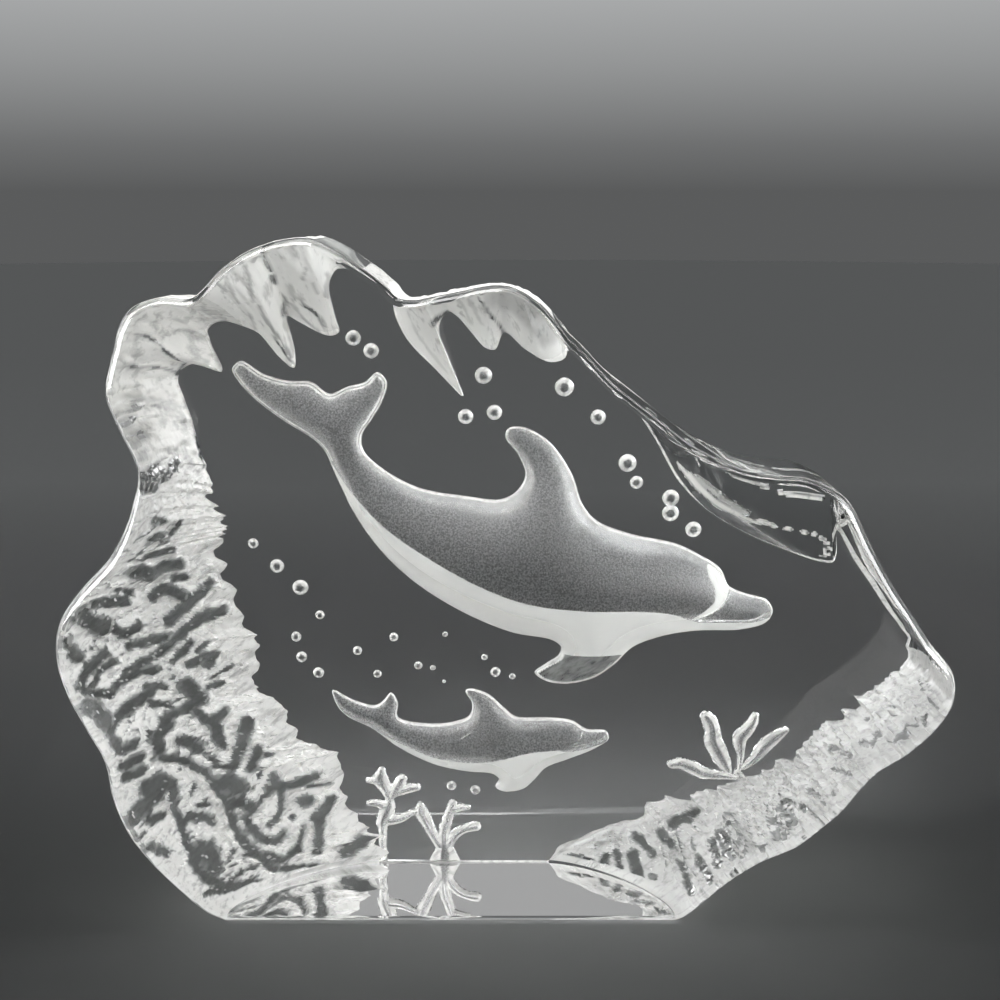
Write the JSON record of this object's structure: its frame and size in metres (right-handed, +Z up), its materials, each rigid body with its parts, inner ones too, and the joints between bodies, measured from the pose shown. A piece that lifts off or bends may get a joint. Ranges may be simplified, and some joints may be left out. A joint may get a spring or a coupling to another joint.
{
  "type": "crystal relief paperweight",
  "caption": "Clear cast crystal block that stands on a flat base, with dolphins, bubbles, coral and weed hollowed into its back and a rough rim.",
  "frame": {"origin": "under the middle of the block, on the surface that it stands on", "axes": "+Z up, +Y from the polished front to the carved back, +X to the right of someone who looks at the front"},
  "size_m": [0.18, 0.047, 0.1395],
  "materials": {
    "crystal": "clear polished faces, frosted carving"
  },
  "bodies": {
    "root": {"crystal_block": "crystal"}
  },
  "joints": []
}
